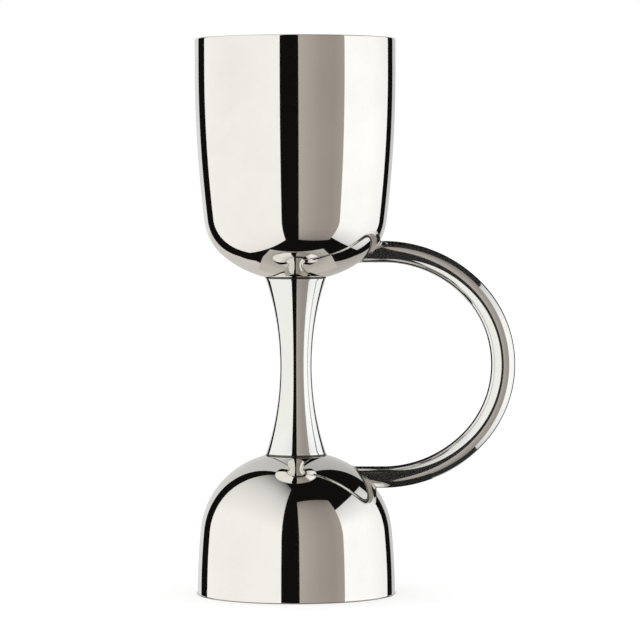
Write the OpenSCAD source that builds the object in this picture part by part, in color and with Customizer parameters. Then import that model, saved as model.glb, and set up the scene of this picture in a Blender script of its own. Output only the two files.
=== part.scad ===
// Double-ended bar jigger: a tall cup above and a short cup below, mouths facing
// away from each other, joined by a waisted stem and by a bent ring handle.
// Origin: cup axis on the plane of the lower rim. +Z up, +X towards the handle.

/* [Overall] */
// Height from the lower rim to the upper rim
height = 120; // [119:0.5:122]
// Sheet thickness of both cups
wall = 1; // [0.8:0.1:1.1]

/* [Upper cup] */
// Outer radius at the rim
upper_rim_r = 21.65; // [21.4:0.05:21.9]
// Depth outside, from the rim to the stem seat
upper_depth = 51.4; // [50:0.1:53]
// Radius of the long, slightly barrelled wall
upper_wall_r = 268; // [220:1:300]
// Angle that the wall has turned through where the corner starts
upper_wall_turn = 7; // [6:0.1:8]
// Radius of the corner between wall and bottom
upper_corner_r = 11.6; // [10:0.1:13]
// Angle turned through where the bottom starts
upper_corner_turn = 49; // [45:1:52]
// Radius of the bottom's crown
upper_crown_r = 21.8; // [20:0.1:23]

/* [Lower cup] */
// Outer radius at the rim, above its bead
lower_rim_r = 21.35; // [21.1:0.05:21.6]
// Depth outside, from the rim to the stem seat
lower_depth = 30; // [30:0.1:31]
// Radius of the curved wall
lower_wall_r = 145; // [120:1:150]
// Angle that the wall has turned through where the corner starts
lower_wall_turn = 5.5; // [5:0.1:5.6]
// Radius of the corner between wall and crown
lower_corner_r = 18.1; // [17.5:0.1:18.2]
// Angle turned through where the crown starts
lower_corner_turn = 45; // [44:1:48]
// Radius of the crown
lower_crown_r = 19.2; // [18.8:0.1:19.3]
// How far the bead stands proud of the rim
bead_proud = 0.25; // [0.1:0.05:0.4]
// Radius of the bead's section
bead_r = 0.7; // [0.6:0.05:0.8]

/* [Stem] */
// Radius at both ends
stem_end_r = 6.5; // [6.2:0.05:6.6]
// Radius at the waist
stem_waist_r = 3.45; // [3.2:0.05:3.8]
// Depth of the tapped hole at each end
stem_bore_depth = 9; // [8.5:0.1:11]

/* [Handle] */
// Diameter of the round bar
bar_d = 5; // [4.6:0.1:5.4]
// Height of the handle's middle plane
handle_z = 49.6; // [49.3:0.1:49.9]
// Distance of the bend's centre from the cup axis
bend_x = 20.7; // [20.4:0.1:21]
// Radius of the bend, on the bar's centreline
bend_r = 24.2; // [23.9:0.1:24.4]
// Angle above the middle plane at which each end stops against its cup
end_angle = 106; // [105:0.5:108]

/* [Joints] */
// Thickness of the filler between a cup and what is brazed to it
filler = 0.3; // [0.2:0.05:0.35]
// How far the filler stands proud of the joint's edge
filler_proud = 0.15; // [0.1:0.05:0.2]

/* [Hidden] */
$fn = 128;

// Straight steps that stand for each arc of a cup's section
wall_steps = 8;
corner_steps = 14;
crown_steps = 8;
bead_steps = 12;
// Overlap that keeps cutting shapes clear of coincident faces
over = 1;

steel = [0.80, 0.80, 0.78];
bright = [0.86, 0.86, 0.85];
dull = [0.62, 0.61, 0.58];

// Outer radius of the flat pressed into a cup for the stem to stand on
seat_r = stem_end_r + filler_proud + 0.15;
// Rounding of the ground rims
rim_round = 0.25;
// Angle by which the filler runs on past the end of the handle's bar
filler_turn = 1;

// Weld stud: nominal 5 mm thread on a flanged base
stud_r = 2.45;
stud_len = 8;
stud_pitch = 0.8;
stud_thread_depth = 0.4;
stud_turns = 8;
stud_flange_r = 3.25;
stud_flange_h = 1;
bore_r = 2.5;
counterbore_r = 3.5;
counterbore_h = stud_flange_h - filler + 0.1;

upper_seat_z = height - upper_depth;
lower_seat_z = lower_depth;
stem_bottom = lower_seat_z + filler;
stem_len = upper_seat_z - lower_seat_z - 2 * filler;
// Radius of the waist's hollow curve, from its chord and its depth
stem_hollow = stem_end_r - stem_waist_r;
stem_curve_r = (pow(stem_len / 2, 2) + pow(stem_hollow, 2)) / (2 * stem_hollow);

// A cup's section is a straight wall, then three arcs that run into one another.
// It is held as [rim_r, depth, wall_r, wall_turn, corner_r, corner_turn, crown_r].
upper_spec = [upper_rim_r, upper_depth, upper_wall_r, upper_wall_turn,
              upper_corner_r, upper_corner_turn, upper_crown_r];
lower_spec = [lower_rim_r, lower_depth, lower_wall_r, lower_wall_turn,
              lower_corner_r, lower_corner_turn, lower_crown_r];

function turned(r, a) = r * [cos(a), -sin(a)];
// Step from the wall arc's centre to the corner's, and from there to the crown's
function to_corner(s) = turned(s[2] - s[4], s[3]);
function to_crown(s) = turned(s[4] - s[6], s[5]);
// Centre of the crown across the section
function crown_x(s) = s[0] - s[2] + to_corner(s)[0] + to_crown(s)[0];
// Straight length that brings the crown down to the stated depth at the seat
function straight(s) = s[1] + to_corner(s)[1] + to_crown(s)[1]
    - sqrt(pow(s[6], 2) - pow(seat_r - crown_x(s), 2));
function wall_centre(s) = [s[0] - s[2], -straight(s)];
function corner_centre(s) = wall_centre(s) + to_corner(s);
function crown_centre(s) = corner_centre(s) + to_crown(s);

// Points of an arc between two downward angles, the last one left to the next arc
function arc(centre, r, from, to, steps) =
    [for (i = [0 : steps - 1]) centre + turned(r, from + (to - from) * i / steps)];

// Angle at which the crown, drawn inset from the outside, reaches its flat floor
function floor_angle(s, inset) = asin((crown_centre(s)[1] + s[1] - inset) / (s[6] - inset));

// Outline of a cup's body below its rim, inset from its outside, starting where
// the wall has turned through wall_from
function body_points(s, inset, wall_from) =
    let (flat = floor_angle(s, inset))
    concat(
        arc(wall_centre(s), s[2] - inset, wall_from, s[3], wall_steps),
        arc(corner_centre(s), s[4] - inset, s[3], s[5], corner_steps),
        arc(crown_centre(s), s[6] - inset, s[5], flat, crown_steps),
        [crown_centre(s) + turned(s[6] - inset, flat), [0, inset - s[1]]]
    );

// Half section of the whole cup body, rim plane at y = 0, drawn inset from its
// outside; a negative inset draws the body grown by that much.
module bowl(s, inset) {
    polygon(concat([[0, over], [s[0] - inset, over]], body_points(s, inset, 0)));
}

// The same body with a bead around the outside of its rim
module beaded_bowl(s) {
    bead_centre = [s[0] + bead_proud - bead_r, -bead_r];
    // Downward angle at which the bead's section meets the wall
    meet = acos((bead_r - bead_proud) / bead_r);
    wall_from = asin((bead_r * (1 + sin(meet)) - straight(s)) / s[2]);
    polygon(concat(
        [[0, 0]],
        arc(bead_centre, bead_r, -90, meet, bead_steps),
        body_points(s, 0, wall_from)
    ));
}

// What rounding takes off one edge of the rim; side is 1 outside and -1 inside
module rim_spandrel(r, side) {
    reach = side * (rim_round + over);
    translate([r - side * rim_round, -rim_round])
        difference() {
            polygon([[0, 0], [reach, 0], [reach, rim_round + over], [0, rim_round + over]]);
            circle(rim_round);
        }
}

module plain_section(s) {
    difference() {
        bowl(s, 0);
        bowl(s, wall);
        square([s[0] + over, 2 * over]);
        rim_spandrel(s[0], 1);
        rim_spandrel(s[0] - wall, -1);
    }
}

module beaded_section(s) {
    difference() {
        beaded_bowl(s);
        bowl(s, wall);
        rim_spandrel(s[0] - wall, -1);
    }
}

// Put a shape drawn in a cup's own frame, rim at zero and body below, in its place
module as_upper() { translate([0, 0, height]) children(); }
module as_lower() { mirror([0, 0, 1]) children(); }

// Length of the handle's bar, or of the same bend in another thickness, between
// two angles above its middle plane
module bent_bar(d, from, to) {
    translate([bend_x, 0, handle_z])
        rotate([90, 0, 0])
            rotate([0, 0, from])
                rotate_extrude(angle = to - from)
                    translate([bend_r, 0]) circle(d / 2);
}

// Skin of filler over the outside of a cup
module filler_skin(s) {
    rotate_extrude()
        difference() {
            bowl(s, -filler);
            bowl(s, 0);
        }
}

// Filler left between the stem and a cup, from z = 0 up
module stem_filler() {
    rotate_extrude()
        difference() {
            union() {
                square([stem_end_r + filler_proud - filler / 2, filler]);
                translate([stem_end_r + filler_proud - filler / 2, filler / 2])
                    circle(filler / 2, $fn = 48);
            }
            translate([0, -over]) square([counterbore_r + 0.1, 2 * over + filler]);
        }
}

// Stud welded to a cup, flange on z = 0 and thread upwards. Its thread is a row
// of rings, because nothing here turns on it.
module weld_stud() {
    thread_top = stud_flange_h + stud_len;
    chamfer = 0.5;
    rings = [
        for (i = [0 : stud_turns - 1], k = [0 : 1])
            [stud_r - k * stud_thread_depth,
             thread_top - chamfer - (stud_turns - i) * stud_pitch + k * stud_pitch / 2]
    ];
    rotate_extrude()
        polygon(concat(
            [[0, 0], [stud_flange_r, 0], [stud_flange_r, stud_flange_h], [stud_r, stud_flange_h]],
            rings,
            [[stud_r, thread_top - chamfer], [stud_r - chamfer, thread_top], [0, thread_top]]
        ));
}

// Tapped hole and stud recess in the end of the stem, opening downwards from z = 0
module stud_hole() {
    translate([0, 0, -over]) cylinder(r = bore_r, h = over + stem_bore_depth);
    translate([0, 0, -over]) cylinder(r = counterbore_r, h = over + counterbore_h);
}

module upper_cup() {
    color(steel)
        as_upper() rotate_extrude() plain_section(upper_spec);
}

module lower_cup() {
    color(steel)
        as_lower() rotate_extrude() beaded_section(lower_spec);
}

module stem() {
    color(bright)
        difference() {
            translate([0, 0, stem_bottom])
                rotate_extrude()
                    difference() {
                        square([stem_end_r + over, stem_len]);
                        translate([stem_waist_r + stem_curve_r, stem_len / 2])
                            circle(stem_curve_r, $fn = 720);
                    }
            translate([0, 0, stem_bottom]) stud_hole();
            translate([0, 0, stem_bottom + stem_len]) mirror([0, 0, 1]) stud_hole();
        }
}

module ring_handle() {
    color(bright)
        difference() {
            bent_bar(bar_d, -end_angle, end_angle);
            as_upper() rotate_extrude() bowl(upper_spec, -filler);
            as_lower() rotate_extrude() bowl(lower_spec, -filler);
        }
}

module upper_weld_stud() {
    color(dull) translate([0, 0, upper_seat_z]) mirror([0, 0, 1]) weld_stud();
}

module lower_weld_stud() {
    color(dull) translate([0, 0, lower_seat_z]) weld_stud();
}

module upper_stem_braze() {
    color(dull) translate([0, 0, upper_seat_z - filler]) stem_filler();
}

module lower_stem_braze() {
    color(dull) translate([0, 0, lower_seat_z]) stem_filler();
}

module upper_handle_braze() {
    color(dull)
        intersection() {
            bent_bar(bar_d + 2 * filler_proud, 90, end_angle + filler_turn);
            as_upper() filler_skin(upper_spec);
        }
}

module lower_handle_braze() {
    color(dull)
        intersection() {
            bent_bar(bar_d + 2 * filler_proud, -end_angle - filler_turn, -90);
            as_lower() filler_skin(lower_spec);
        }
}

upper_cup();
lower_cup();
stem();
ring_handle();
upper_weld_stud();
lower_weld_stud();
upper_stem_braze();
lower_stem_braze();
upper_handle_braze();
lower_handle_braze();
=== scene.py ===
"""Double-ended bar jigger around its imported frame: smooth shells, finishes and studio.

All lengths are metres. The cup axis is the Z axis, the handle lies towards +X.
"""

import math

import bmesh
import bpy
from mathutils import Matrix, Vector


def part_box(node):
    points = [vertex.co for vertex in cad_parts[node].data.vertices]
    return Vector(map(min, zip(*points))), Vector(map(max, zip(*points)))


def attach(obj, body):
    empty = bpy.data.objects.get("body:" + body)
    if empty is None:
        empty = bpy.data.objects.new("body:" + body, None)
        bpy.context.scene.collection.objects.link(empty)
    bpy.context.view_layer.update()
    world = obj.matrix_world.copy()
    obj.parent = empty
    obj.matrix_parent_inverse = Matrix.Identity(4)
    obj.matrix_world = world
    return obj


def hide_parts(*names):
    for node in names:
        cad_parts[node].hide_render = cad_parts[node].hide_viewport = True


bl_info = {
    "name": "Bar Jigger",
    "version": (1, 0, 0),
    "blender": (4, 5, 0),
    "location": "3D View > Sidebar > Jigger",
    "description": "Models a polished double-ended jigger and its studio",
    "category": "Object",
}

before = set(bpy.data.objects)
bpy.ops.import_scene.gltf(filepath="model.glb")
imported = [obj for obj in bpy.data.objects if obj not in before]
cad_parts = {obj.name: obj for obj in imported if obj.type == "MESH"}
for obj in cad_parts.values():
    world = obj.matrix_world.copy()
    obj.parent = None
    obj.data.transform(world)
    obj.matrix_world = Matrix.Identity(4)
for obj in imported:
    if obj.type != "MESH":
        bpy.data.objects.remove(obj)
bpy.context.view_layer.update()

MM = 0.001
MICRON = 0.001 * MM
BODY = "root"
CUP_SLOT = "cup_steel"
BAR_SLOT = "bar_steel"
STUD_SLOT = "stud_steel"
BRAZE_SLOT = "braze"

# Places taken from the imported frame
UPPER_LOW, UPPER_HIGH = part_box("upper_cup")
LOWER_LOW, LOWER_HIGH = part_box("lower_cup")
STEM_LOW, STEM_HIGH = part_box("stem")
TOP_RIM_Z = UPPER_HIGH.z
UPPER_SEAT_Z = UPPER_LOW.z
BASE_RIM_Z = LOWER_LOW.z
LOWER_SEAT_Z = LOWER_HIGH.z

# Steps around a full turn of the cups and the stem
TURN_STEPS = 224
# Distance within which points count as one
WELD = 1e-7
# Angle over which an edge is shaded as a crease
CREASE = math.radians(32)
QUARTER = math.pi / 2


def length(name, description, default):
    """A length in metres that the user may change."""
    return bpy.props.FloatProperty(
        name=name, description=description, default=default, min=0.0,
        unit="LENGTH", subtype="DISTANCE", precision=5,
    )


def angle(name, description, degrees):
    """An angle that the user may change, given here in degrees."""
    return bpy.props.FloatProperty(
        name=name, description=description, default=math.radians(degrees),
        unit="ROTATION", subtype="ANGLE",
    )


def share(name, description, default):
    """A plain number from zero to one."""
    return bpy.props.FloatProperty(
        name=name, description=description, default=default, min=0.0, max=1.0, precision=4,
    )


def tint(name, description, default):
    """A colour in linear light."""
    return bpy.props.FloatVectorProperty(
        name=name, description=description, default=default, min=0.0, max=4.0,
        subtype="COLOR", size=3,
    )


# ---------------------------------------------------------------- sizes


class CupSizes(bpy.types.PropertyGroup):
    """Section of both cups: straight below the rim, then three arcs that run into one another."""

    sheet: length("Sheet thickness", "Thickness of the spun sheet", 1.0 * MM)
    rim_round: length("Rim rounding", "Rounding of the ground rims", 0.22 * MM)
    seat: length("Seat radius", "Radius of the flat that the stem stands on", 6.8 * MM)
    upper_rim: length("Upper rim radius", "Outer radius at the upper rim", 21.65 * MM)
    upper_wall: length("Upper wall radius", "Radius of the barrelled wall", 268 * MM)
    upper_wall_turn: angle("Upper wall turn", "Angle turned where the corner starts", 7)
    upper_corner: length("Upper corner radius", "Radius between wall and bottom", 11.6 * MM)
    upper_corner_turn: angle("Upper corner turn", "Angle turned where the bottom starts", 49)
    upper_crown: length("Upper crown radius", "Radius of the bottom", 21.8 * MM)
    lower_rim: length("Lower rim radius", "Outer radius at the lower rim", 21.35 * MM)
    lower_wall: length("Lower wall radius", "Radius of the curved wall", 145 * MM)
    lower_wall_turn: angle("Lower wall turn", "Angle turned where the corner starts", 5.5)
    lower_corner: length("Lower corner radius", "Radius between wall and crown", 18.1 * MM)
    lower_corner_turn: angle("Lower corner turn", "Angle turned where the crown starts", 45)
    lower_crown: length("Lower crown radius", "Radius of the crown", 19.2 * MM)
    lip_proud: length("Lip flare", "How far the lower rim's lip stands proud", 0.25 * MM)
    lip_height: length("Lip height", "Height over which the lower wall flares", 1.9 * MM)


class StemSizes(bpy.types.PropertyGroup):
    """The waisted rod between the cups and the seams at its ends."""

    end: length("End radius", "Radius at both ends", 6.5 * MM)
    waist: length("Waist radius", "Radius at the waist", 3.45 * MM)
    edge: length("Edge rounding", "Rounding of the end edges", 0.12 * MM)
    seam_proud: length("Seam overhang", "How far the seam stands out of the joint", 0.13 * MM)


class HandleSizes(bpy.types.PropertyGroup):
    """The round bar: three arcs that run into one another, then straight onto each cup."""

    middle_z: length("Middle height", "Height of the handle's middle plane", 49.62 * MM)
    middle_x: length("Middle centre", "Distance of the middle arc's centre", 21.63 * MM)
    middle_radius: length("Middle radius", "Radius of the middle arc", 23.22 * MM)
    middle_turn: angle("Middle turn", "Half the angle of the middle arc", 43.46)
    end_radius: length("End radius", "Radius of the arcs at both ends", 27.02 * MM)
    bar_end: length("Bar radius at the ends", "Radius of the bar at both cups", 2.33 * MM)
    bar_middle: length("Bar radius in the middle", "Radius of the bar at its far side", 2.62 * MM)
    fillet: length("Fillet", "Leg of the brazed fillet around each end", 0.38 * MM)


class Finishes(bpy.types.PropertyGroup):
    """Colours and polish of the metals."""

    cup_colour: tint("Cup metal", "Mirror finish of the cups", (0.872, 0.856, 0.829))
    bar_colour: tint("Bar metal", "Mirror finish of stem and handle", (0.838, 0.850, 0.838))
    haze_colour: tint("Polishing haze", "Duller tone left in patches", (0.800, 0.782, 0.752))
    inside_colour: tint("Inside metal", "Satin inside of the cups", (0.700, 0.688, 0.665))
    braze_colour: tint("Braze metal", "Silver filler in the joints", (0.560, 0.535, 0.490))
    # Near-black seam colour: painted shadow of the thin dark line at each stem joint, on a real
    # seam of filler.
    seam_colour: tint("Seam metal", "Darkened filler around the stem", (0.150, 0.140, 0.125))
    stud_colour: tint("Stud metal", "Machined studs inside the stem", (0.520, 0.510, 0.490))
    polish: share("Polish", "Roughness of the polished metal", 0.045)


class Studio(bpy.types.PropertyGroup):
    """Camera, and the light panels and board that the metal mirrors."""

    eye: bpy.props.FloatVectorProperty(
        name="Camera", description="Place of the camera",
        default=(5.24 * MM, -779 * MM, 85.5 * MM), subtype="TRANSLATION", unit="LENGTH", size=3,
        precision=5,
    )
    target: bpy.props.FloatVectorProperty(
        name="Target", description="Point in the centre of the view",
        default=(5.24 * MM, 0.0, 59.28 * MM), subtype="TRANSLATION", unit="LENGTH", size=3,
        precision=5,
    )
    roll: angle("Roll", "Turn of the camera about its own axis", -0.12)
    lens: bpy.props.FloatProperty(
        name="Lens", description="Focal length", default=202.7, min=20.0, unit="CAMERA",
    )
    panel_distance: length("Panel distance", "Distance of the light panels", 3.0)
    softbox: tint("Left softbox", "Light of the large softbox", (1.0, 0.99, 0.96))
    side_softbox: tint("Right softbox", "Light of the softbox beyond the handle", (1.0, 1.0, 0.99))
    card: tint("Grey card", "Light of the warm grey card", (0.466, 0.421, 0.381))
    backdrop: tint("Backdrop", "Light of the backdrop in the metal", (0.600, 0.600, 0.590))
    low_backdrop: tint("Low backdrop", "Light of the backdrop's lower part", (0.620, 0.600, 0.560))
    board: tint("Board", "Light of the board under the jigger", (0.56, 0.53, 0.48))
    gloom: tint("Gloom", "Light of the dark room between the panels", (0.006, 0.0055, 0.005))


SIZE_GROUPS = {
    "jigger_cups": CupSizes,
    "jigger_stem": StemSizes,
    "jigger_handle": HandleSizes,
    "jigger_finishes": Finishes,
    "jigger_studio": Studio,
}


# ---------------------------------------------------------------- drawing


def turned(radius, turn):
    """Step of the given radius, turned downwards from +X in the XZ plane."""
    return Vector((radius * math.cos(turn), -radius * math.sin(turn)))


class CupShape:
    """Outside of a cup in its own frame: rim at height zero, body below it."""

    def __init__(self, rim, depth, wall, wall_turn, corner, corner_turn, crown, seat):
        self.rim, self.depth = rim, depth
        self.radii = (wall, corner, crown)
        self.turns = (0.0, wall_turn, corner_turn)
        first = Vector((rim - wall, 0.0))
        second = first + turned(wall - corner, wall_turn)
        third = second + turned(corner - crown, corner_turn)
        straight = depth + third.y - math.sqrt(crown ** 2 - (seat - third.x) ** 2)
        drop = Vector((0.0, -straight))
        self.centres = (first + drop, second + drop, third + drop)

    def floor_turn(self, inset):
        """Angle at which the crown, drawn inset, meets its flat floor."""
        rise = self.centres[2].y + self.depth - inset
        return math.asin(rise / (self.radii[2] - inset))

    def arcs(self, inset):
        """Centre, radius, first and last angle of each arc, from the rim down."""
        stops = (*self.turns, self.floor_turn(inset))
        return [
            (self.centres[i], self.radii[i] - inset, stops[i], stops[i + 1]) for i in range(3)
        ]

    def radius_at(self, height):
        """Outer radius at a height at or below the rim."""
        for centre, radius, start, stop in self.arcs(0.0):
            if height >= centre.y - radius * math.sin(stop):
                lift = min(0.0, height - centre.y)
                return centre.x + math.sqrt(max(0.0, radius ** 2 - lift ** 2))
        return 0.0


class Pen:
    """Draws a half section in the XZ plane, one line or arc after another."""

    def __init__(self, mesh, x, z):
        self.mesh = mesh
        self.tip = mesh.verts.new((x, 0.0, z))

    def line(self, x, z, steps=1):
        """Go straight to a point in equal steps."""
        start = self.tip.co.copy()
        goal = Vector((x, 0.0, z))
        for step in range(1, steps + 1):
            grown = bmesh.ops.extrude_vert_indiv(self.mesh, verts=[self.tip])
            self.tip = grown["verts"][0]
            self.tip.co = start.lerp(goal, step / steps)

    def arc(self, centre, turn, steps):
        """Turn about a centre in the XZ plane; positive turns +X towards -Z."""
        swept = bmesh.ops.spin(
            self.mesh, geom=[self.tip], cent=(centre[0], 0.0, centre[1]), axis=(0.0, 1.0, 0.0),
            dvec=(0.0, 0.0, 0.0), angle=turn, steps=steps, use_merge=False,
            use_normal_flip=False, use_duplicate=False,
        )
        self.tip = [part for part in swept["geom_last"] if isinstance(part, bmesh.types.BMVert)][0]


def turn_solid(mesh, steps=TURN_STEPS):
    """Spin the drawn section about the Z axis into a closed solid."""
    bmesh.ops.spin(
        mesh, geom=mesh.verts[:] + mesh.edges[:], cent=(0.0, 0.0, 0.0), axis=(0.0, 0.0, 1.0),
        dvec=(0.0, 0.0, 0.0), angle=2 * math.pi, steps=steps, use_merge=True,
        use_normal_flip=False, use_duplicate=False,
    )
    bmesh.ops.remove_doubles(mesh, verts=mesh.verts, dist=WELD)
    bmesh.ops.recalc_face_normals(mesh, faces=mesh.faces)


def make_object(name, mesh, materials, crease=CREASE):
    """Turn a finished bmesh into an object at the origin."""
    data = bpy.data.meshes.new(name)
    for face in mesh.faces:
        face.smooth = True
    mesh.to_mesh(data)
    mesh.free()
    for material in materials:
        data.materials.append(material)
    if crease is not None:
        data.set_sharp_from_angle(angle=crease)
    made = bpy.data.objects.new(name, data)
    bpy.context.scene.collection.objects.link(made)
    return made


def place_piece(made, slot, *nodes):
    """Fix a piece to the frame's body, in the place of its CAD nodes."""
    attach(made, BODY)
    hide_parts(*nodes)


def upper_shape():
    """Outside of the tall cup."""
    sizes = bpy.context.scene.jigger_cups
    return CupShape(
        sizes.upper_rim, TOP_RIM_Z - UPPER_SEAT_Z, sizes.upper_wall, sizes.upper_wall_turn,
        sizes.upper_corner, sizes.upper_corner_turn, sizes.upper_crown, sizes.seat,
    )


def lower_shape():
    """Outside of the short cup, which stands rim down."""
    sizes = bpy.context.scene.jigger_cups
    return CupShape(
        sizes.lower_rim, LOWER_SEAT_Z - BASE_RIM_Z, sizes.lower_wall, sizes.lower_wall_turn,
        sizes.lower_corner, sizes.lower_corner_turn, sizes.lower_crown, sizes.seat,
    )


# ---------------------------------------------------------------- finishes


def add_node(tree, kind, settings=None, sockets=None):
    """Add a shader node with its settings and its unlinked socket values."""
    made = tree.nodes.new(kind)
    for key, value in (settings or {}).items():
        setattr(made, key, value)
    for key, value in (sockets or {}).items():
        made.inputs[key].default_value = value
    return made


def lathe_coordinates(tree, place):
    """Distance from the axis and height, so that a pattern runs round like lathe marks."""
    split = add_node(tree, "ShaderNodeSeparateXYZ")
    tree.links.new(place, split.inputs[0])
    flat = add_node(tree, "ShaderNodeCombineXYZ")
    tree.links.new(split.outputs["X"], flat.inputs["X"])
    tree.links.new(split.outputs["Y"], flat.inputs["Y"])
    away = add_node(tree, "ShaderNodeVectorMath", {"operation": "LENGTH"})
    tree.links.new(flat.outputs[0], away.inputs[0])
    ring = add_node(tree, "ShaderNodeCombineXYZ")
    tree.links.new(away.outputs["Value"], ring.inputs["X"])
    tree.links.new(split.outputs["Z"], ring.inputs["Z"])
    return ring.outputs[0]


def new_material(name):
    """A material without nodes but its output, with its tree and its surface socket."""
    material = bpy.data.materials.new(name)
    material.use_nodes = True
    tree = material.node_tree
    tree.nodes.clear()
    out = add_node(tree, "ShaderNodeOutputMaterial")
    return material, tree, out.inputs["Surface"]


def noise(tree, place, scale, detail, roughness):
    """Noise pattern at the given place."""
    made = add_node(
        tree, "ShaderNodeTexNoise",
        sockets={"Scale": scale, "Detail": detail, "Roughness": roughness},
    )
    tree.links.new(place, made.inputs["Vector"])
    return made.outputs["Fac"]


def bump(tree, pattern, height):
    """Bump of a height in metres that follows a pattern."""
    made = add_node(tree, "ShaderNodeBump", sockets={"Strength": 1.0, "Distance": height})
    tree.links.new(pattern, made.inputs["Height"])
    return made


# Noise scales of the metals' marks, per metre
HAZE_SCALE, WAVE_SCALE, WIPE_SCALE, LINE_SCALE = 46.0, 105.0, 420.0, 2600.0
# Noise levels between which the haze sets in
HAZE_FROM, HAZE_TO = 0.42, 0.78
# Turn and stretch of the wiping marks
WIPE_TURN, WIPE_STRETCH = (0.35, 0.2, 0.5), (1.0, 1.0, 0.12)


def metal(name, colours, roughness, marks, waves, lathe=True, metallic=1.0):
    """Metal with polishing haze, wiping marks, fine lines and a slight waviness.

    colours are those of the clean metal and the haze, and roughness is its least and
    most. marks and waves are the heights of the fine lines and of the waviness. The
    lines run round like lathe marks, or along the wiping marks without lathe.
    """
    if name in bpy.data.materials:
        return bpy.data.materials[name]
    material, tree, surface = new_material(name)
    shader = add_node(tree, "ShaderNodeBsdfPrincipled", sockets={"Metallic": metallic})
    tree.links.new(shader.outputs[0], surface)
    place = add_node(tree, "ShaderNodeTexCoord").outputs["Object"]

    haze = noise(tree, place, HAZE_SCALE, detail=5.0, roughness=0.62)
    spread = add_node(
        tree, "ShaderNodeMapRange", sockets={"From Min": HAZE_FROM, "From Max": HAZE_TO}
    )
    tree.links.new(haze, spread.inputs["Value"])
    blend = add_node(tree, "ShaderNodeMix", {"data_type": "RGBA"})
    blend.inputs["A"].default_value = (*colours[0], 1.0)
    blend.inputs["B"].default_value = (*colours[1], 1.0)
    tree.links.new(spread.outputs[0], blend.inputs["Factor"])
    tree.links.new(blend.outputs["Result"], shader.inputs["Base Color"])

    stretch = add_node(
        tree, "ShaderNodeMapping", sockets={"Rotation": WIPE_TURN, "Scale": WIPE_STRETCH}
    )
    tree.links.new(place, stretch.inputs["Vector"])
    wiped = stretch.outputs[0]
    both = add_node(tree, "ShaderNodeMath", {"operation": "MULTIPLY"})
    tree.links.new(spread.outputs[0], both.inputs[0])
    wipes = noise(tree, wiped, WIPE_SCALE, detail=6.0, roughness=0.7)
    tree.links.new(wipes, both.inputs[1])
    rough = add_node(
        tree, "ShaderNodeMapRange", sockets={"To Min": roughness[0], "To Max": roughness[1]}
    )
    tree.links.new(both.outputs[0], rough.inputs["Value"])
    tree.links.new(rough.outputs[0], shader.inputs["Roughness"])

    broad = bump(tree, noise(tree, place, WAVE_SCALE, detail=1.5, roughness=0.4), waves)
    along = lathe_coordinates(tree, place) if lathe else wiped
    fine = bump(tree, noise(tree, along, LINE_SCALE, detail=3.0, roughness=0.6), marks)
    tree.links.new(broad.outputs[0], fine.inputs["Normal"])
    tree.links.new(fine.outputs[0], shader.inputs["Normal"])
    return material


def darker(colour, part):
    """A colour taken down to a part of its light."""
    return tuple(part * channel for channel in colour)


def mirror_polished_sheet():
    """Spun and buffed outside of the cups."""
    looks = bpy.context.scene.jigger_finishes
    return metal(
        "mirror_polished_sheet", (looks.cup_colour, looks.haze_colour),
        (looks.polish * 0.7, looks.polish * 1.9), marks=0.5 * MICRON, waves=5 * MICRON,
    )


def mirror_polished_bar():
    """Turned and buffed stem."""
    looks = bpy.context.scene.jigger_finishes
    return metal(
        "mirror_polished_bar", (looks.bar_colour, looks.haze_colour),
        (looks.polish, looks.polish * 2.4), marks=0.6 * MICRON, waves=4 * MICRON,
    )


def mirror_polished_handle():
    """Drawn and buffed bar of the handle, a little duller than the stem."""
    looks = bpy.context.scene.jigger_finishes
    return metal(
        "mirror_polished_handle", (looks.bar_colour, looks.haze_colour),
        (looks.polish, looks.polish * 2.4), marks=0.15 * MICRON, waves=4 * MICRON,
        lathe=False, metallic=0.975,
    )


def satin_inside():
    """Spun inside of the cups, without a mirror polish."""
    inside = bpy.context.scene.jigger_finishes.inside_colour
    return metal(
        "satin_inside", (inside, darker(inside, 0.9)), (0.2, 0.34),
        marks=3 * MICRON, waves=4 * MICRON,
    )


def dressed_braze():
    """Silver filler around the handle's ends, dressed by hand."""
    braze = bpy.context.scene.jigger_finishes.braze_colour
    return metal(
        "dressed_braze", (braze, darker(braze, 0.72)), (0.14, 0.4),
        marks=4 * MICRON, waves=10 * MICRON, lathe=False,
    )


def darkened_seam():
    """Filler at the stem's ends; its near-black colour is painted shadow of the thin dark line at
    each joint.
    """
    seam = bpy.context.scene.jigger_finishes.seam_colour
    return metal(
        "darkened_seam", (seam, darker(seam, 0.6)), (0.2, 0.45),
        marks=4 * MICRON, waves=10 * MICRON, lathe=False,
    )


def machined_stud():
    """Turned studs inside the stem."""
    stud = bpy.context.scene.jigger_finishes.stud_colour
    return metal(
        "machined_stud", (stud, darker(stud, 0.7)), (0.25, 0.45),
        marks=5 * MICRON, waves=2 * MICRON,
    )


# ---------------------------------------------------------------- pieces


# Steps along the arcs of a cup's section, and around a rounded edge
WALL_STEPS, CORNER_STEPS, CROWN_STEPS, ROUND_STEPS = 36, 30, 16, 6
# Steps along the straight stretches and the lip's flare
FLOOR_STEPS, STRAIGHT_STEPS, RIM_STEPS, FLARE_STEPS = 6, 4, 2, 12
# Steps along the stem's waist and around a seam's bulge
WAIST_STEPS, SEAM_STEPS = 90, 10
# Share of the sheet's thickness under the outside at which its inside starts
INSIDE_FROM = 0.6


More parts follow.
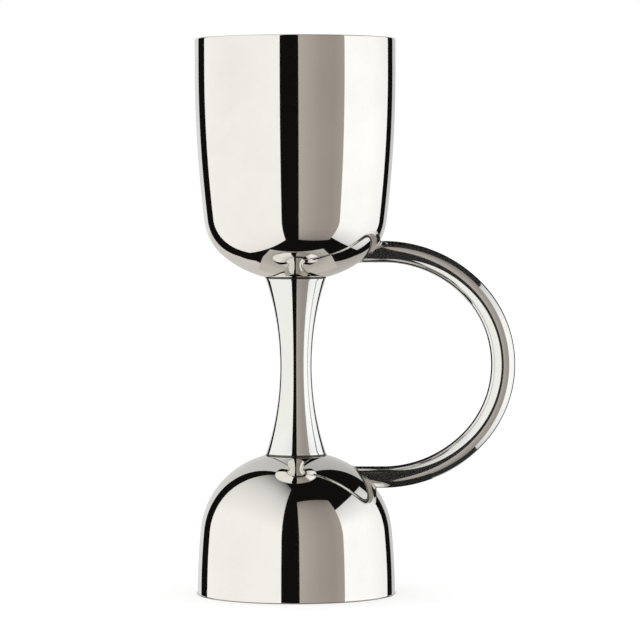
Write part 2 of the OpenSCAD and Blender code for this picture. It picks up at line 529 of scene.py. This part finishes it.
def draw_cup(mesh, shape, sheet, rim_round, flare=0.0, flare_height=0.0):
    """Half section of a cup, from the axis outside, over the rim, to the axis inside."""
    pen = Pen(mesh, 0.0, -shape.depth)
    outer = shape.arcs(0.0)
    first = outer[2][0] + turned(outer[2][1], outer[2][3])
    pen.line(first.x, -shape.depth, FLOOR_STEPS)
    for (centre, _, start, stop), steps in zip(
        reversed(outer), (CROWN_STEPS, CORNER_STEPS, WALL_STEPS)
    ):
        pen.arc(centre, start - stop, steps)
    if flare:
        draw_flare(pen, shape, flare, flare_height, rim_round)
    else:
        pen.line(shape.rim, -rim_round, STRAIGHT_STEPS)
    pen.arc((pen.tip.co.x - rim_round, -rim_round), -QUARTER, ROUND_STEPS)
    pen.line(shape.rim - sheet + rim_round, 0.0, RIM_STEPS)
    pen.arc((shape.rim - sheet + rim_round, -rim_round), -QUARTER, ROUND_STEPS)
    inner = shape.arcs(sheet)
    pen.line(inner[0][0].x + inner[0][1], inner[0][0].y, STRAIGHT_STEPS)
    for (centre, _, start, stop), steps in zip(inner, (WALL_STEPS, CORNER_STEPS, CROWN_STEPS)):
        pen.arc(centre, stop - start, steps)
    pen.line(0.0, sheet - shape.depth, FLOOR_STEPS)


def draw_flare(pen, shape, flare, flare_height, rim_round):
    """Let the wall run out into the lip in a smooth double curve."""
    if pen.tip.co.z < -flare_height:
        pen.line(shape.rim, -flare_height, RIM_STEPS)
    start = pen.tip.co.z
    for step in range(1, FLARE_STEPS + 1):
        part = step / FLARE_STEPS
        swell = part * part * (3 - 2 * part)
        pen.line(shape.rim + flare * swell, start + (-rim_round - start) * part)


def mark_inside(mesh, shape, height):
    """Give the faces under the sheet's outside the inside's finish.

    height turns a height in the mesh into one in the cup's own frame.
    """
    sheet = bpy.context.scene.jigger_cups.sheet
    for face in mesh.faces:
        centre = face.calc_center_median()
        level = height(centre.z)
        covered = centre.xy.length < shape.radius_at(level) - INSIDE_FROM * sheet
        if covered and level > INSIDE_FROM * sheet - shape.depth:
            face.material_index = 1


class JIGGER_OT_upper_cup(bpy.types.Operator):
    """Spin the tall upper cup from its section"""

    bl_idname = "jigger.upper_cup"
    bl_label = "Upper Cup"

    def execute(self, context):
        sizes = context.scene.jigger_cups
        mesh = bmesh.new()
        shape = upper_shape()
        draw_cup(mesh, shape, sizes.sheet, sizes.rim_round)
        turn_solid(mesh)
        bmesh.ops.translate(mesh, verts=mesh.verts, vec=(0.0, 0.0, TOP_RIM_Z))
        mark_inside(mesh, shape, lambda z: z - TOP_RIM_Z)
        made = make_object("upper_cup_shell", mesh, [mirror_polished_sheet(), satin_inside()])
        place_piece(made, CUP_SLOT, "upper_cup")
        return {"FINISHED"}


class JIGGER_OT_lower_cup(bpy.types.Operator):
    """Spin the short lower cup from its section, with its flared lip"""

    bl_idname = "jigger.lower_cup"
    bl_label = "Lower Cup"

    def execute(self, context):
        sizes = context.scene.jigger_cups
        mesh = bmesh.new()
        shape = lower_shape()
        draw_cup(
            mesh, shape, sizes.sheet, sizes.rim_round, sizes.lip_proud, sizes.lip_height
        )
        bmesh.ops.scale(mesh, verts=mesh.verts, vec=(1.0, 1.0, -1.0))
        turn_solid(mesh)
        bmesh.ops.translate(mesh, verts=mesh.verts, vec=(0.0, 0.0, BASE_RIM_Z))
        mark_inside(mesh, shape, lambda z: BASE_RIM_Z - z)
        made = make_object("lower_cup_shell", mesh, [mirror_polished_sheet(), satin_inside()])
        place_piece(made, CUP_SLOT, "lower_cup")
        return {"FINISHED"}


class JIGGER_OT_stem(bpy.types.Operator):
    """Turn the waisted stem between the cups"""

    bl_idname = "jigger.stem"
    bl_label = "Stem"

    def execute(self, context):
        sizes = context.scene.jigger_stem
        low, high = STEM_LOW.z, STEM_HIGH.z
        half = (high - low) / 2 - sizes.edge
        hollow = sizes.end - sizes.waist
        curve = (half ** 2 + hollow ** 2) / (2 * hollow)
        lean = math.asin(half / curve)
        middle = (low + high) / 2
        mesh = bmesh.new()
        pen = Pen(mesh, 0.0, low)
        pen.line(sizes.end - sizes.edge, low, STRAIGHT_STEPS)
        pen.arc((sizes.end - sizes.edge, low + sizes.edge), -QUARTER, ROUND_STEPS)
        pen.arc((sizes.waist + curve, middle), 2 * lean, WAIST_STEPS)
        pen.arc((sizes.end - sizes.edge, high - sizes.edge), -QUARTER, ROUND_STEPS)
        pen.line(0.0, high, STRAIGHT_STEPS)
        turn_solid(mesh)
        made = make_object("waisted_stem", mesh, [mirror_polished_bar()])
        place_piece(made, BAR_SLOT, "stem")
        return {"FINISHED"}


class JIGGER_OT_stem_seams(bpy.types.Operator):
    """Lay the thin seam of filler at each end of the stem"""

    bl_idname = "jigger.stem_seams"
    bl_label = "Stem Seams"

    def execute(self, context):
        sizes = context.scene.jigger_stem
        joints = (
            ("lower_stem_seam", LOWER_SEAT_Z, STEM_LOW.z, "lower_stem_braze"),
            ("upper_stem_seam", STEM_HIGH.z, UPPER_SEAT_Z, "upper_stem_braze"),
        )
        for name, low, high, node in joints:
            thick = high - low
            edge = sizes.end + sizes.seam_proud - thick / 2
            mesh = bmesh.new()
            pen = Pen(mesh, 0.0, low)
            pen.line(edge, low, STRAIGHT_STEPS)
            pen.arc((edge, low + thick / 2), -2 * QUARTER, SEAM_STEPS)
            pen.line(0.0, high, STRAIGHT_STEPS)
            turn_solid(mesh)
            # The seam's near-black finish is painted shadow of the joint's dark line.
            made = make_object(name, mesh, [darkened_seam()])
            place_piece(made, BRAZE_SLOT, node)
        return {"FINISHED"}


# Angles above the middle plane between which the bar's ends lie, and how often that
# span is halved to find one
END_SEARCH = (math.radians(60), math.radians(125))
HALVINGS = 40


class Bend:
    """The handle's path and bar, as points by angle above its middle plane."""

    def __init__(self, sizes):
        self.sizes = sizes
        self.middle = Vector((sizes.middle_x, sizes.middle_z))
        back = sizes.end_radius - sizes.middle_radius
        slide = turned(back, -sizes.middle_turn)
        self.above = self.middle - slide
        self.below = Vector((self.above.x, 2 * self.middle.y - self.above.y))
        self.ends = {1: upper_shape(), -1: lower_shape()}

    def point(self, bend, around, shrink=0.0):
        """Point on the bar's surface, or inside it by shrink.

        Past a quarter turn the bar runs on straight.
        """
        sizes = self.sizes
        straight = max(0.0, abs(bend) - QUARTER) * sizes.end_radius
        bend = math.copysign(min(abs(bend), QUARTER), bend)
        if abs(bend) <= sizes.middle_turn:
            centre, radius = self.middle, sizes.middle_radius
        else:
            centre, radius = (self.above if bend > 0 else self.below), sizes.end_radius
        swell = (sizes.bar_middle - sizes.bar_end) * math.cos(bend) ** 2
        bar = sizes.bar_end + swell - shrink
        reach = radius + bar * math.cos(around)
        return Vector((
            centre.x + reach * math.cos(bend) - straight,
            bar * math.sin(around),
            centre.y + reach * math.sin(bend),
        ))

    def gap(self, spot, side):
        """Distance across the axis between a spot and the cup at that end."""
        height = spot.z - TOP_RIM_Z if side > 0 else BASE_RIM_Z - spot.z
        return spot.xy.length - self.ends[side].radius_at(height)

    def stop(self, around, side):
        """Angle at which this line of the bar's surface runs onto the cup."""
        near, far = END_SEARCH
        for _ in range(HALVINGS):
            middle = (near + far) / 2
            if self.gap(self.point(side * middle, around), side) > 0:
                near = middle
            else:
                far = middle
        return side * near

    def onto_cup(self, spot, side):
        """The same spot moved across the axis onto the cup."""
        across = spot.xy.length
        move = self.gap(spot, side) / across
        return Vector((spot.x * (1 - move), spot.y * (1 - move), spot.z))


# Sides of the bar, and steps along it
BAR_SIDES, BAR_STEPS = 48, 180


class JIGGER_OT_handle(bpy.types.Operator):
    """Bend a straight round bar into the ring handle and cope its ends to the cups"""

    bl_idname = "jigger.handle"
    bl_label = "Ring Handle"

    def execute(self, context):
        bend = Bend(context.scene.jigger_handle)
        mesh = bmesh.new()
        bmesh.ops.create_circle(mesh, cap_ends=False, radius=1.0, segments=BAR_SIDES)
        edges = mesh.edges[:]
        for _ in range(BAR_STEPS):
            grown = bmesh.ops.extrude_edge_only(mesh, edges=edges)["geom"]
            edges = [part for part in grown if isinstance(part, bmesh.types.BMEdge)]
            ring = [part for part in grown if isinstance(part, bmesh.types.BMVert)]
            bmesh.ops.translate(mesh, verts=ring, vec=(0.0, 0.0, 1.0))
        stops = {}
        for vert in mesh.verts:
            around = math.atan2(vert.co.y, vert.co.x)
            key = round(around, 4)
            if key not in stops:
                stops[key] = (bend.stop(around, -1), bend.stop(around, 1))
            first, last = stops[key]
            vert.co = bend.point(first + (last - first) * vert.co.z / BAR_STEPS, around)
        rims = [edge for edge in mesh.edges if edge.is_boundary]
        caps = bmesh.ops.holes_fill(mesh, edges=rims, sides=0)["faces"]
        bmesh.ops.triangulate(mesh, faces=caps)
        bmesh.ops.recalc_face_normals(mesh, faces=mesh.faces)
        made = make_object("ring_handle_bar", mesh, [mirror_polished_handle()])
        place_piece(made, BAR_SLOT, "ring_handle")
        flag_off(made)
        return {"FINISHED"}


# Sides and radius of the section of the plain ring that is laid onto a joint
SECTION_SIDES, SECTION_RADIUS = 10, 0.25
# Depth of the fillet's edges in the bar and in the cup, and how full its face is
SUNK_IN_BAR, SUNK_IN_CUP, FACE_FULLNESS = 0.01 * MM, 0.02 * MM, 0.06 * MM
# Depth of the joint's heart, as a share of the bar's radius, and the share of the way
# back to the bar's surface at which the fillet's buried half turns
HEART_DEPTH, BURIED_TURN = 0.8, 0.8


class JIGGER_OT_handle_fillets(bpy.types.Operator):
    """Run a small brazed fillet around each end of the handle"""

    bl_idname = "jigger.handle_fillets"
    bl_label = "Handle Fillets"

    def execute(self, context):
        sizes = context.scene.jigger_handle
        bend = Bend(sizes)
        for side, name, node in (
            (1, "upper_handle_fillet", "upper_handle_braze"),
            (-1, "lower_handle_fillet", "lower_handle_braze"),
        ):
            mesh = bmesh.new()
            bmesh.ops.create_circle(
                mesh, cap_ends=False, radius=SECTION_RADIUS, segments=SECTION_SIDES
            )
            bmesh.ops.rotate(
                mesh, verts=mesh.verts, cent=(0.0, 0.0, 0.0),
                matrix=Matrix.Rotation(QUARTER, 3, "X"),
            )
            bmesh.ops.translate(mesh, verts=mesh.verts, vec=(1.0, 0.0, 0.0))
            turn_solid(mesh, 2 * BAR_SIDES)
            for vert in mesh.verts:
                around = math.atan2(vert.co.y, vert.co.x)
                section = math.atan2(vert.co.z, vert.co.xy.length - 1.0)
                vert.co = fillet_point(bend, side, around, section, sizes.fillet)
            bmesh.ops.recalc_face_normals(mesh, faces=mesh.faces)
            made = make_object(name, mesh, [dressed_braze()])
            place_piece(made, BRAZE_SLOT, node)
        return {"FINISHED"}


def fillet_point(bend, side, around, section, leg):
    """Where a point of a plain ring lies on the fillet.

    Half of its section is the hollow face from bar to cup, and the other half is
    buried in the joint.
    """
    stop = bend.stop(around, side)
    root = bend.point(stop, around)
    on_bar = bend.point(stop - side * leg / bend.sizes.end_radius, around, SUNK_IN_BAR)
    heart = bend.point(stop, around, bend.sizes.bar_end * HEART_DEPTH)
    away = (root - heart).normalized()
    on_cup = bend.onto_cup(root + away * leg, side)
    on_cup = on_cup - Vector((on_cup.x, on_cup.y, 0.0)).normalized() * SUNK_IN_CUP
    part = 0.5 - section / math.pi
    if 0.0 <= part <= 1.0:
        hollow = root + away * FACE_FULLNESS
        rest = 1 - part
        return on_bar * rest ** 2 + hollow * 2 * part * rest + on_cup * part ** 2
    buried = bend.onto_cup(heart.lerp(root, BURIED_TURN), side)
    back = part - 1.0 if part > 1.0 else part + 1.0
    return on_cup.lerp(buried, 2 * back) if back < 0.5 else buried.lerp(on_bar, 2 * back - 1)


class JIGGER_OT_studs(bpy.types.Operator):
    """Give the weld studs inside the stem their machined finish"""

    bl_idname = "jigger.studs"
    bl_label = "Weld Studs"

    def execute(self, context):
        for node in ("upper_weld_stud", "lower_weld_stud"):
            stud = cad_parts[node]
            stud.data.materials.clear()
            stud.data.materials.append(machined_stud())
        return {"FINISHED"}


# ---------------------------------------------------------------- studio


# Height, in panel distances, that the light ramps cover each way
RAMP_REACH = 8.0
# Collection of the pieces that black flags screen from some of the panels
FLAGGED = "flagged"

# Each panel's light by height, in panel distances above the base, as (height, light)
LEFT_LIGHT = (
    (-2.2, 0.88), (-1.6, 0.94), (-0.8, 1.02), (0.45, 1.02), (0.8, 0.92), (1.2, 0.83),
    (1.6, 0.76), (2.3, 0.63), (2.9, 0.52), (3.8, 0.38), (5.7, 0.17), (6.4, 0.12),
)
CARD_LIGHT = (
    (-1.35, 0.62), (-1.0, 0.80), (-0.6, 0.93), (0.0, 1.0), (0.5, 0.97), (0.9, 0.84),
    (1.2, 0.70), (1.54, 0.48),
)
RIGHT_LIGHT = (
    (-1.07, 0.72), (-0.8, 0.90), (-0.4, 1.11), (0.0, 1.16), (0.3, 1.14), (0.5, 0.98),
    (0.7, 0.84), (0.885, 0.72),
)
BACKDROP_LIGHT = ((-0.14, 1.05), (0.15, 1.0), (0.5, 0.84), (0.9, 0.76))
LOW_BACKDROP_LIGHT = ((-1.2, 0.92), (-0.14, 1.0))
# A second factor by the turn in degrees at which the panel is seen, as (turn, light)
CARD_TURNS = ((4, 1.06), (15, 0.96), (30, 0.83), (45, 0.78), (57, 0.88))
RIGHT_TURNS = ((58, 1.0), (100, 1.0), (130, 0.90))
BACKDROP_TURNS = ((-180, 1.12), (-147, 1.30), (150, 1.0), (180, 1.05))
LOW_BACKDROP_TURNS = ((-180, 1.0), (-147, 1.12), (150, 0.72), (180, 0.88))

# Turn in degrees that each upright panel stands at, and its corners (across, height) in
# panel distances: low left, low right, high left, high right, as seen from the jigger
LEFT_FACING = -70
LEFT_CORNERS = ((-1.32, -2.19), (1.31, -2.19), (-2.30, 6.3), (1.33, 6.3))
CARD_FACING = 22
CARD_CORNERS = ((-0.289, -1.35), (0.740, -1.35), (-0.365, 1.54), (0.747, 1.54))
RIGHT_FACING = 90
RIGHT_CORNERS = ((-0.613, -1.07), (0.949, -1.07), (-0.613, 0.885), (0.949, 0.885))

# Turns and rises in degrees that the backdrop's two parts cover
BACKDROP_SPREAD = (150, 213)
BACKDROP_RISES, LOW_BACKDROP_RISES = (-8, 66), (-50, -8)
# Corners and height of the scrim overhead, in panel distances
SCRIM_LOW, SCRIM_HIGH, SCRIM_RISE = (-0.18, 0.0), (0.18, 0.55), 0.9
# The dark room closes the scene at this many panel distances, all but its poles
ROOM_REACH, ROOM_RISES = 9, (-89.9, 89.9)

# Half the floor's side, and the grey levels of its cover and of its own light
FLOOR_REACH, FLOOR_COVER, FLOOR_GLOW = 4.0, 0.46, 0.6
# Corners of the board, its height over the floor, and the reach of its contact shade
BOARD_LOW, BOARD_HIGH = (-35 * MM, -24 * MM), (39 * MM, 85 * MM)
BOARD_LIFT, BOARD_SHADE = 0.05 * MM, 30 * MM


def light_material(name, colour, distance, heights=(), turns=()):
    """A glowing panel, its light changed by height and by turn where these are given."""
    material, tree, surface = new_material(name)
    glow = add_node(tree, "ShaderNodeEmission", sockets={"Color": (*colour, 1.0)})
    tree.links.new(glow.outputs[0], surface)
    if not heights:
        return material
    split = add_node(tree, "ShaderNodeSeparateXYZ")
    tree.links.new(add_node(tree, "ShaderNodeTexCoord").outputs["Object"], split.inputs[0])
    reach = RAMP_REACH * distance
    level = follow_ramp(
        tree, split.outputs["Z"], (-reach, reach),
        [(0.5 + 0.5 * height / RAMP_REACH, light) for height, light in heights],
    )
    if turns:
        front = add_node(tree, "ShaderNodeMath", {"operation": "MULTIPLY"}, {1: -1.0})
        tree.links.new(split.outputs["Y"], front.inputs[0])
        side = add_node(tree, "ShaderNodeMath", {"operation": "ARCTAN2"})
        tree.links.new(split.outputs["X"], side.inputs[0])
        tree.links.new(front.outputs[0], side.inputs[1])
        other = follow_ramp(
            tree, side.outputs[0], (-math.pi, math.pi),
            [(0.5 + turn / 360.0, light) for turn, light in turns],
        )
        product = add_node(tree, "ShaderNodeMath", {"operation": "MULTIPLY"})
        tree.links.new(level, product.inputs[0])
        tree.links.new(other, product.inputs[1])
        level = product.outputs[0]
    tree.links.new(level, glow.inputs["Strength"])
    return material


def follow_ramp(tree, value, span, stops):
    """Grey level read from stops as value goes over its span."""
    reach = add_node(
        tree, "ShaderNodeMapRange", sockets={"From Min": span[0], "From Max": span[1]}
    )
    tree.links.new(value, reach.inputs["Value"])
    ramp = add_node(tree, "ShaderNodeValToRGB")
    set_ramp(ramp, stops)
    tree.links.new(reach.outputs[0], ramp.inputs[0])
    doubled = add_node(tree, "ShaderNodeMath", {"operation": "MULTIPLY"}, {1: 2.0})
    tree.links.new(ramp.outputs[0], doubled.inputs[0])
    return doubled.outputs[0]


def set_ramp(ramp, stops):
    """Fill a colour ramp with half of each grey level, so that levels up to 2 fit."""
    elements = ramp.color_ramp.elements
    while len(elements) < len(stops):
        elements.new(0.5)
    for element, (position, light) in zip(elements, sorted(stops)):
        element.position = position
        element.color = (light / 2, light / 2, light / 2, 1.0)


def flag_off(made):
    """Screen a piece from the backdrop, the scrim and the board."""
    flags = bpy.data.collections[FLAGGED]
    flags.objects.link(made)
    for entry in flags.collection_objects:
        entry.light_linking.link_state = "EXCLUDE"


def mirror_only(made):
    """Show a stage piece only in reflections."""
    made.visible_camera = False
    made.visible_diffuse = False
    made.visible_transmission = False
    made.visible_volume_scatter = False
    made.visible_shadow = False
    return made


def curved_panel(name, turns, rises, distance, material):
    """Panel on a sphere around the jigger's base, between two turns and two rises.

    Both are in degrees. Turn 0 looks from the jigger to the camera and grows towards +X.
    """
    low, high = (math.radians(rise) for rise in rises)
    mesh = bmesh.new()
    start = Vector((distance * math.cos(low), distance * math.sin(low)))
    pen = Pen(mesh, start.x, start.y)
    pen.arc((0.0, 0.0), low - high, 24)
    bmesh.ops.spin(
        mesh, geom=mesh.verts[:] + mesh.edges[:], cent=(0.0, 0.0, 0.0), axis=(0.0, 0.0, 1.0),
        dvec=(0.0, 0.0, 0.0), angle=math.radians(turns[1] - turns[0]), steps=48,
        use_merge=False, use_normal_flip=False, use_duplicate=False,
    )
    bmesh.ops.rotate(
        mesh, verts=mesh.verts, cent=(0.0, 0.0, 0.0),
        matrix=Matrix.Rotation(math.radians(turns[0] - 90), 3, "Z"),
    )
    return mirror_only(make_object(name, mesh, [material], None))


def flat_panel(name, facing, corners, distance, material):
    """Upright four-sided panel at a distance from the jigger, square to its turn."""
    mesh = bmesh.new()
    bmesh.ops.create_grid(mesh, x_segments=1, y_segments=1, size=0.5)
    for vert in mesh.verts:
        across, height = corners[(vert.co.x > 0) + 2 * (vert.co.y > 0)]
        vert.co = (across * distance, -distance, height * distance)
    bmesh.ops.rotate(
        mesh, verts=mesh.verts, cent=(0.0, 0.0, 0.0),
        matrix=Matrix.Rotation(math.radians(facing), 3, "Z"),
    )
    return mirror_only(make_object(name, mesh, [material], None))


def flat_sheet(name, low, high, height, material):
    """Level rectangle between two corners."""
    mesh = bmesh.new()
    bmesh.ops.create_grid(mesh, x_segments=1, y_segments=1, size=0.5)
    size = (high[0] - low[0], high[1] - low[1], 1.0)
    bmesh.ops.scale(mesh, verts=mesh.verts, vec=size)
    middle = ((low[0] + high[0]) / 2, (low[1] + high[1]) / 2, height)
    bmesh.ops.translate(mesh, verts=mesh.verts, vec=middle)
    return make_object(name, mesh, [material], None)


def grey(level):
    """Neutral colour of a level."""
    return (level, level, level, 1.0)


def floor_material():
    """Pale floor with a light of its own, so that shadows on it stay faint."""
    material, tree, surface = new_material("pale_floor")
    cover = add_node(tree, "ShaderNodeBsdfDiffuse", sockets={"Color": grey(FLOOR_COVER)})
    glow = add_node(tree, "ShaderNodeEmission", sockets={"Color": grey(FLOOR_GLOW)})
    both = add_node(tree, "ShaderNodeAddShader")
    tree.links.new(cover.outputs[0], both.inputs[0])
    tree.links.new(glow.outputs[0], both.inputs[1])
    tree.links.new(both.outputs[0], surface)
    return material


def board_material(colour):
    """Glossy board under the jigger, glowing as if lit, with painted contact shadow under the
    metal.
    """
    material, tree, surface = new_material("warm_board")
    # Painted contact shadow: ambient occlusion darkens the board's glow near the metal.
    shade = add_node(
        tree, "ShaderNodeAmbientOcclusion", {"samples": 8},
        {"Distance": BOARD_SHADE, "Color": (*colour, 1.0)},
    )
    cover = add_node(tree, "ShaderNodeEmission")
    tree.links.new(shade.outputs["Color"], cover.inputs["Color"])
    gloss = add_node(
        tree, "ShaderNodeBsdfGlossy", sockets={"Color": grey(1.0), "Roughness": 0.02}
    )
    slant = add_node(tree, "ShaderNodeLayerWeight", sockets={"Blend": 0.5})
    grazing = add_node(
        tree, "ShaderNodeMapRange", sockets={"From Min": 0.6, "From Max": 0.85}
    )
    tree.links.new(slant.outputs["Facing"], grazing.inputs["Value"])
    both = add_node(tree, "ShaderNodeMixShader")
    tree.links.new(grazing.outputs[0], both.inputs[0])
    tree.links.new(cover.outputs[0], both.inputs[1])
    tree.links.new(gloss.outputs[0], both.inputs[2])
    tree.links.new(both.outputs[0], surface)
    return material


class JIGGER_OT_studio(bpy.types.Operator):
    """Set up the floor, the light panels and the camera"""

    bl_idname = "jigger.studio"
    bl_label = "Studio"

    def execute(self, context):
        studio = context.scene.jigger_studio
        world = bpy.data.worlds.new("white_surround")
        world.use_nodes = True
        world.node_tree.nodes["Background"].inputs["Color"].default_value = grey(1.0)
        context.scene.world = world
        context.scene.view_settings.view_transform = "Standard"
        board = self.add_ground(studio)
        self.add_upright_panels(studio, studio.panel_distance)
        behind, above = self.add_backdrop(studio, studio.panel_distance)
        self.add_camera(context, studio)
        flags = bpy.data.collections.new(FLAGGED)
        for panel in (behind, above, board):
            panel.light_linking.receiver_collection = flags
        return {"FINISHED"}

    @staticmethod
    def add_ground(studio):
        """Floor, and on it the board that only the metal shows."""
        floor = flat_sheet(
            "floor", (-FLOOR_REACH, -FLOOR_REACH), (FLOOR_REACH, FLOOR_REACH), BASE_RIM_Z,
            floor_material(),
        )
        floor.visible_glossy = False
        return mirror_only(flat_sheet(
            "board", BOARD_LOW, BOARD_HIGH, BASE_RIM_Z + BOARD_LIFT, board_material(studio.board)
        ))

    @staticmethod
    def add_upright_panels(studio, distance):
        """Softboxes on both sides and the card near the camera."""
        left = light_material("left_softbox", studio.softbox, distance, LEFT_LIGHT)
        flat_panel("left_softbox", LEFT_FACING, LEFT_CORNERS, distance, left)
        card = light_material("grey_card", studio.card, distance, CARD_LIGHT, CARD_TURNS)
        flat_panel("grey_card", CARD_FACING, CARD_CORNERS, distance, card)
        right = light_material(
            "right_softbox", studio.side_softbox, distance, RIGHT_LIGHT, RIGHT_TURNS
        )
        flat_panel("right_softbox", RIGHT_FACING, RIGHT_CORNERS, distance, right)

    @staticmethod
    def add_backdrop(studio, distance):
        """Both parts of the backdrop, the scrim overhead and the dark room behind all."""
        back = light_material(
            "backdrop", studio.backdrop, distance, BACKDROP_LIGHT, BACKDROP_TURNS
        )
        behind = curved_panel("backdrop", BACKDROP_SPREAD, BACKDROP_RISES, distance, back)
        low_back = light_material(
            "low_backdrop", studio.low_backdrop, distance, LOW_BACKDROP_LIGHT,
            LOW_BACKDROP_TURNS,
        )
        curved_panel("low_backdrop", BACKDROP_SPREAD, LOW_BACKDROP_RISES, distance, low_back)
        low, high = (
            [distance * part for part in corner] for corner in (SCRIM_LOW, SCRIM_HIGH)
        )
        above = mirror_only(
            flat_sheet("overhead_scrim", low, high, SCRIM_RISE * distance, back)
        )
        gloom = light_material("dark_room", studio.gloom, distance)
        curved_panel("dark_room", (-180, 180), ROOM_RISES, ROOM_REACH * distance, gloom)
        return behind, above

    @staticmethod
    def add_camera(context, studio):
        """Camera on a long lens, aimed at the target."""
        data = bpy.data.cameras.new("camera")
        data.lens = studio.lens
        data.sensor_width = 36.0
        data.clip_start = 10 * MM
        camera = bpy.data.objects.new("camera", data)
        eye, target = Vector(studio.eye), Vector(studio.target)
        look = (target - eye).to_track_quat("-Z", "Y").to_matrix().to_4x4()
        camera.matrix_world = (
            Matrix.Translation(eye) @ look @ Matrix.Rotation(studio.roll, 4, "Z")
        )
        context.scene.collection.objects.link(camera)
        context.scene.camera = camera


class JIGGER_PT_panel(bpy.types.Panel):
    """Lists the jigger's pieces and their sizes"""

    bl_idname = "JIGGER_PT_panel"
    bl_label = "Jigger"
    bl_space_type = "VIEW_3D"
    bl_region_type = "UI"
    bl_category = "Jigger"

    def draw(self, context):
        for operator in OPERATORS:
            self.layout.operator(operator.bl_idname)
        for attribute, group in SIZE_GROUPS.items():
            column = self.layout.column(heading=group.__name__)
            for name in group.__annotations__:
                column.prop(getattr(context.scene, attribute), name)


OPERATORS = (
    JIGGER_OT_studio,
    JIGGER_OT_upper_cup,
    JIGGER_OT_lower_cup,
    JIGGER_OT_stem,
    JIGGER_OT_stem_seams,
    JIGGER_OT_handle,
    JIGGER_OT_handle_fillets,
    JIGGER_OT_studs,
)


def register():
    for group in SIZE_GROUPS.values():
        bpy.utils.register_class(group)
    for attribute, group in SIZE_GROUPS.items():
        setattr(bpy.types.Scene, attribute, bpy.props.PointerProperty(type=group))
    for operator in OPERATORS:
        bpy.utils.register_class(operator)
    bpy.utils.register_class(JIGGER_PT_panel)


def unregister():
    bpy.utils.unregister_class(JIGGER_PT_panel)
    for operator in reversed(OPERATORS):
        bpy.utils.unregister_class(operator)
    for attribute in SIZE_GROUPS:
        delattr(bpy.types.Scene, attribute)
    for group in reversed(SIZE_GROUPS.values()):
        bpy.utils.unregister_class(group)


def main():
    register()
    for operator in OPERATORS:
        family, name = operator.bl_idname.split(".")
        getattr(getattr(bpy.ops, family), name)()


if __name__ == "__main__":
    main()
